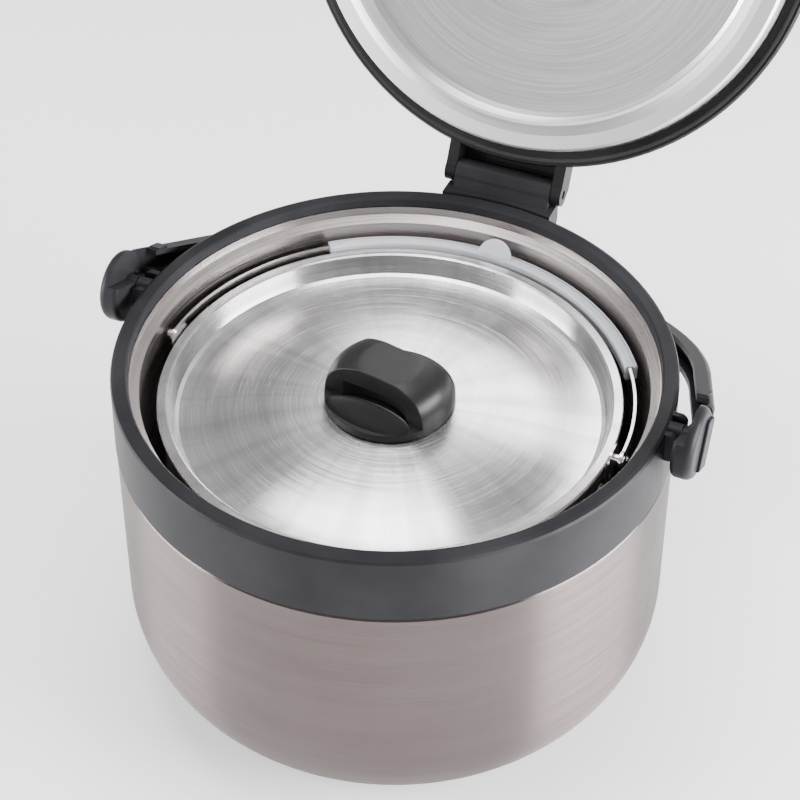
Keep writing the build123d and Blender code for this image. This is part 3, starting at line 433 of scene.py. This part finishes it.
def half_disc(bm, radius, thick, place, segments=28):
    """A thumb tab: a half disc with rounded rims, standing on its straight side."""
    rim = TAB_ROUND * thick
    rows = []
    half = 0.5 * thick
    for offset, shrink in ((-half, rim), (rim - half, 0.0), (half - rim, 0.0), (half, rim)):
        reach = radius - shrink
        row = []
        for k in range(segments + 1):
            angle = math.pi * k / segments
            point = Vector((reach * math.cos(angle), offset, reach * math.sin(angle)))
            row.append(bm.verts.new(place @ point))
        rows.append(row)
    for row, following in zip(rows, rows[1:]):
        for k in range(segments):
            bm.faces.new((row[k], row[k + 1], following[k + 1], following[k]))
    bm.faces.new(rows[0])
    bm.faces.new(list(reversed(rows[-1])))
    bm.faces.new([row[0] for row in rows] + [row[-1] for row in reversed(rows)])


def add_sleeve():
    """The silicone grip: a soft channel pressed over the bail's strip, with its thumb tab."""
    soft = SLEEVE_SOFT
    strip_top = SLEEVE_HALF - SLEEVE_ROOF
    seam = 0.5 * (STRIP_OUT + SLEEVE_OUT)
    profile = [
        (SLEEVE_IN, soft - SLEEVE_HALF),
        (SLEEVE_IN + soft, -SLEEVE_HALF),
        (STRIP_IN, -SLEEVE_HALF),
        (STRIP_IN, strip_top),
        (STRIP_OUT, strip_top),
        (STRIP_OUT, -SLEEVE_HALF),
        (SLEEVE_OUT - soft, -SLEEVE_HALF),
        (SLEEVE_OUT, soft - SLEEVE_HALF),
        (SLEEVE_OUT, SLEEVE_HALF - soft),
        (SLEEVE_OUT - soft, SLEEVE_HALF),
        (seam + SEAM_HALF, SLEEVE_HALF),
        (seam + SEAM_FLOOR_HALF, SLEEVE_HALF - SEAM_DEPTH),
        (seam - SEAM_FLOOR_HALF, SLEEVE_HALF - SEAM_DEPTH),
        (seam - SEAM_HALF, SLEEVE_HALF),
        (SLEEVE_IN + soft, SLEEVE_HALF),
        (SLEEVE_IN, SLEEVE_HALF - soft),
    ]
    bm = bmesh.new()
    swept_ring(bm, profile, BAIL_CENTRE, SLEEVE_START_DEG, SLEEVE_END_DEG, SLEEVE_STEPS)
    turn = Matrix.Rotation(TAB_AZIMUTH - math.pi / 2, 4, "Z")
    stand = Matrix.Translation((0, SLEEVE_IN + TAB_OUT, SLEEVE_HALF - TAB_SUNK))
    lean = Matrix.Rotation(math.radians(TAB_LEAN_DEG), 4, "X")
    place = Matrix.Translation(BAIL_CENTRE) @ turn @ stand @ lean
    half_disc(bm, TAB_R, TAB_T, place)
    piece = add_piece("sleeve_skin", bm, SILICONE)
    round_edges(piece, SLEEVE_BEVEL, 3, SHARP_DEG)
    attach(piece, "bail")
    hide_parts("bail_sleeve")


add_sleeve()

# Width of the small rounding that moulded pieces have along their edges, in metres.
SOFT_EDGES = {
    "lid_knob": 0.0005,
    "carry_handle": 0.0006,
    "collar_ring": 0.0004,
    "hinge_bracket": 0.0005,
    "lid_rim": 0.0004,
    "latch_button": 0.0004,
}
MOULDED_SHARP_DEG = 40.0
for node_name, width in SOFT_EDGES.items():
    round_edges(NODES[node_name], width, 2, MOULDED_SHARP_DEG)


# ---- floor, lights and camera ------------------------------------------------------------


def add_floor():
    mesh = bpy.data.meshes.new("floor")
    half = FLOOR_HALF
    corners = [(-half, -half, 0), (half, -half, 0), (half, half, 0), (-half, half, 0)]
    mesh.from_pydata(corners, [], [(0, 1, 2, 3)])
    floor = bpy.data.objects.new("floor", mesh)
    bpy.context.scene.collection.objects.link(floor)
    net = Net("floor_paper")
    mottle = net.noise(net.object_coords(), 5.0, 3.0, 0.5)
    net.set(Base_Color=net.mix(mottle, (0.92, 0.92, 0.92), (0.95, 0.95, 0.95)), Roughness=0.8)
    net.bsdf.inputs["Emission Color"].default_value = (1.0, 1.0, 1.0, 1.0)
    net.bsdf.inputs["Emission Strength"].default_value = FLOOR_GLOW
    mesh.materials.append(net.mat)


def add_softbox(name, place, target, size, power):
    data = bpy.data.lights.new(name, "AREA")
    data.shape = "RECTANGLE"
    data.size, data.size_y = size
    data.energy = power
    lamp = bpy.data.objects.new(name, data)
    bpy.context.scene.collection.objects.link(lamp)
    lamp.location = place
    aim = Vector(target) - Vector(place)
    lamp.rotation_euler = aim.to_track_quat("-Z", "Y").to_euler()


def add_world():
    world = bpy.data.worlds.new("studio")
    world.use_nodes = True
    sky = world.node_tree.nodes["Background"]
    sky.inputs["Color"].default_value = (1.0, 1.0, 1.0, 1.0)
    sky.inputs["Strength"].default_value = SKY_STRENGTH
    bpy.context.scene.world = world


def add_camera():
    data = bpy.data.cameras.new("camera")
    data.sensor_width = CAMERA_SENSOR
    data.lens = CAMERA_LENS
    data.clip_end = CAMERA_REACH
    camera = bpy.data.objects.new("camera", data)
    bpy.context.scene.collection.objects.link(camera)
    camera.location = CAMERA_PLACE
    camera.rotation_euler = (math.radians(CAMERA_TILT_DEG), 0.0, math.radians(CAMERA_TURN_DEG))
    bpy.context.scene.camera = camera


add_floor()
add_world()
for box in SOFTBOXES:
    add_softbox(*box)
add_camera()
